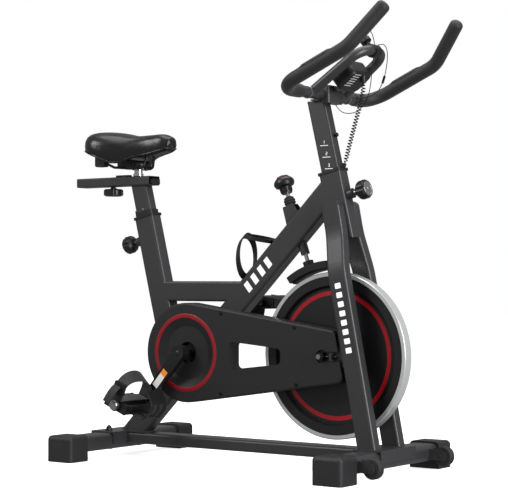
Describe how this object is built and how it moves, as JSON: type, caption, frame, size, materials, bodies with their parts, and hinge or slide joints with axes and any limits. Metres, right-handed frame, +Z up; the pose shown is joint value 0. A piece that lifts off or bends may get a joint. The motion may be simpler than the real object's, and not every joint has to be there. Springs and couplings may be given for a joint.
{
  "type": "exercise bike",
  "caption": "Indoor cycling bike with a braked flywheel, belt cover, height-adjustable saddle and handlebar, caged pedals, bottle cage and transport wheels.",
  "frame": {"origin": "on the floor, under the middle of the overall length and width", "axes": "+X to the front of the bike, +Y to the rider's left, +Z up"},
  "size_m": [1.0626, 0.5, 1.0831],
  "materials": {
    "belt_rubber": "ribbed black rubber",
    "black_paint": "black enamel, satin",
    "black_plastic": "moulded black nylon",
    "bright_steel": "turned and zinc plated",
    "cast_wheel": "black paint, polished rim",
    "console_plastic": "moulded black ABS",
    "cord_sheath": "black PVC sheath",
    "cover_plastic": "moulded black ABS, fine grain",
    "foam": "dipped foam, dark grey",
    "foot_plastic": "moulded black polypropylene",
    "frame_paint": "dark grey powder coat, satin",
    "knob_plastic": "glossy black ABS",
    "roller_rubber": "grey rubber tread",
    "saddle_skin": "black PU leather, semi-gloss",
    "webbing": "woven black nylon"
  },
  "bodies": {
    "frame": {"main_tube": "frame_paint", "mid_tube": "frame_paint", "seat_tube": "frame_paint", "column": "frame_paint", "fork_leg_right": "frame_paint", "fork_leg_left": "frame_paint", "bottom_bar": "frame_paint", "stabilisers": "frame_paint", "frame_plates": "frame_paint", "foot_caps": "foot_plastic", "nuts_and_bolts": "bright_steel", "bottom_bracket_shell": "bright_steel", "ball_bearings": "bright_steel", "flywheel_axle": "bright_steel", "cover_shell": "cover_plastic", "cover_back": "cover_plastic", "welded_bosses": "frame_paint", "bottle_cage": "black_plastic", "post_collars": "black_plastic", "wheel_brackets": "frame_paint", "drive_belt": "belt_rubber", "sensor_and_socket": "black_plastic"},
    "flywheel": {"flywheel": "cast_wheel", "flywheel_pulley": "black_plastic"},
    "crankset": {"crank_spindles": "bright_steel", "crank_right": "black_paint", "crank_left": "black_paint", "crank_pulley": "black_plastic"},
    "pedal_right": {"pedal_right": "black_plastic", "toe_cage_right": "black_plastic", "toe_strap_right": "webbing"},
    "pedal_left": {"pedal_left": "black_plastic", "toe_cage_left": "black_plastic", "toe_strap_left": "webbing"},
    "seat_post": {"seat_post": "frame_paint", "seat_rail": "frame_paint"},
    "saddle_slider": {"seat_slider": "bright_steel"},
    "slider_knob": {"slider_knob": "knob_plastic"},
    "saddle": {"saddle_cushion": "saddle_skin", "saddle_base": "black_plastic", "saddle_rails": "black_paint"},
    "seat_pin": {"seat_pin": "bright_steel"},
    "seat_knob": {"seat_knob": "knob_plastic"},
    "column_pin": {"column_pin": "bright_steel"},
    "column_knob": {"column_knob": "knob_plastic"},
    "handlebar": {"handlebar_post": "frame_paint", "handlebar": "frame_paint", "grips": "foam", "console": "console_plastic", "cord_clips": "black_plastic", "pulse_lead_left": "cord_sheath", "pulse_lead_right": "cord_sheath", "console_lead": "cord_sheath", "curly_cord": "cord_sheath"},
    "console_button": {"console_button": "console_plastic"},
    "brake_rod": {"brake_rod": "bright_steel", "brake_shoe": "black_plastic"},
    "brake_knob": {"brake_knob": "knob_plastic"},
    "transport_wheel_right": {"transport_wheel_right": "roller_rubber"},
    "transport_wheel_left": {"transport_wheel_left": "roller_rubber"}
  },
  "joints": [
    {"name": "flywheel_spin", "type": "hinge", "parent": "frame", "child": "flywheel", "pos_m": [0.285, 0, 0.277], "axis": [0, 1, 0], "continuous": true},
    {"name": "crank_spin", "type": "hinge", "parent": "frame", "child": "crankset", "pos_m": [-0.124, 0, 0.275], "axis": [0, 1, 0], "continuous": true},
    {"name": "pedal_right_spin", "type": "hinge", "parent": "crankset", "child": "pedal_right", "pos_m": [-0.23631, 0, 0.14738], "axis": [0, 1, 0], "continuous": true},
    {"name": "pedal_left_spin", "type": "hinge", "parent": "crankset", "child": "pedal_left", "pos_m": [-0.01169, 0, 0.40262], "axis": [0, 1, 0], "continuous": true},
    {"name": "seat_height", "type": "slide", "parent": "frame", "child": "seat_post", "axis": [-0.2425, 0, 0.9701], "range_m": [-0.06, 0.08]},
    {"name": "saddle_fore_aft", "type": "slide", "parent": "seat_post", "child": "saddle_slider", "axis": [1, 0, 0], "range_m": [-0.055, 0]},
    {"name": "slider_knob_turn", "type": "hinge", "parent": "seat_post", "child": "slider_knob", "pos_m": [-0.418, 0, 0.69], "axis": [0, 0, 1], "range_deg": [-180, 180]},
    {"name": "saddle_tilt", "type": "hinge", "parent": "saddle_slider", "child": "saddle", "pos_m": [-0.332, 0, 0.757], "axis": [0, 1, 0], "range_deg": [-8, 8]},
    {"name": "seat_pin_pull", "type": "slide", "parent": "frame", "child": "seat_pin", "axis": [-0.9701, 0, -0.2425], "range_m": [0, 0.012], "stiffness_N_per_m": 600, "springref_m": -0.006},
    {"name": "seat_knob_turn", "type": "hinge", "parent": "seat_pin", "child": "seat_knob", "pos_m": [-0.3161, 0, 0.55972], "axis": [-0.9701, 0, -0.2425], "range_deg": [-180, 180]},
    {"name": "column_pin_pull", "type": "slide", "parent": "frame", "child": "column_pin", "axis": [0.9724, 0, 0.2334], "range_m": [0, 0.012], "stiffness_N_per_m": 600, "springref_m": -0.006},
    {"name": "column_knob_turn", "type": "hinge", "parent": "column_pin", "child": "column_knob", "pos_m": [0.31983, 0, 0.661], "axis": [0.9724, 0, 0.2334], "range_deg": [-180, 180]},
    {"name": "handlebar_height", "type": "slide", "parent": "frame", "child": "handlebar", "axis": [-0.2334, 0, 0.9724], "range_m": [-0.056, 0.028], "deforming": ["curly_cord"]},
    {"name": "button_press", "type": "slide", "parent": "handlebar", "child": "console_button", "axis": [0.6157, 0, -0.788], "range_m": [0, 0.0012], "stiffness_N_per_m": 900, "springref_m": -0.001},
    {"name": "brake_press", "type": "slide", "parent": "frame", "child": "brake_rod", "axis": [0.342, 0, -0.9397], "range_m": [0, 0.004], "stiffness_N_per_m": 2500, "springref_m": -0.008},
    {"name": "brake_knob_turn", "type": "hinge", "parent": "brake_rod", "child": "brake_knob", "pos_m": [0.13554, 0, 0.68765], "axis": [-0.342, 0, 0.9397], "range_deg": [-180, 180]},
    {"name": "wheel_right_roll", "type": "hinge", "parent": "frame", "child": "transport_wheel_right", "pos_m": [0.488, -0.161, 0.036], "axis": [0, 1, 0], "continuous": true},
    {"name": "wheel_left_roll", "type": "hinge", "parent": "frame", "child": "transport_wheel_left", "pos_m": [0.488, 0.161, 0.036], "axis": [0, 1, 0], "continuous": true}
  ],
  "couplings": [
    {"joint": "crank_spin", "follows": "flywheel_spin", "ratio": 0.29167}
  ]
}
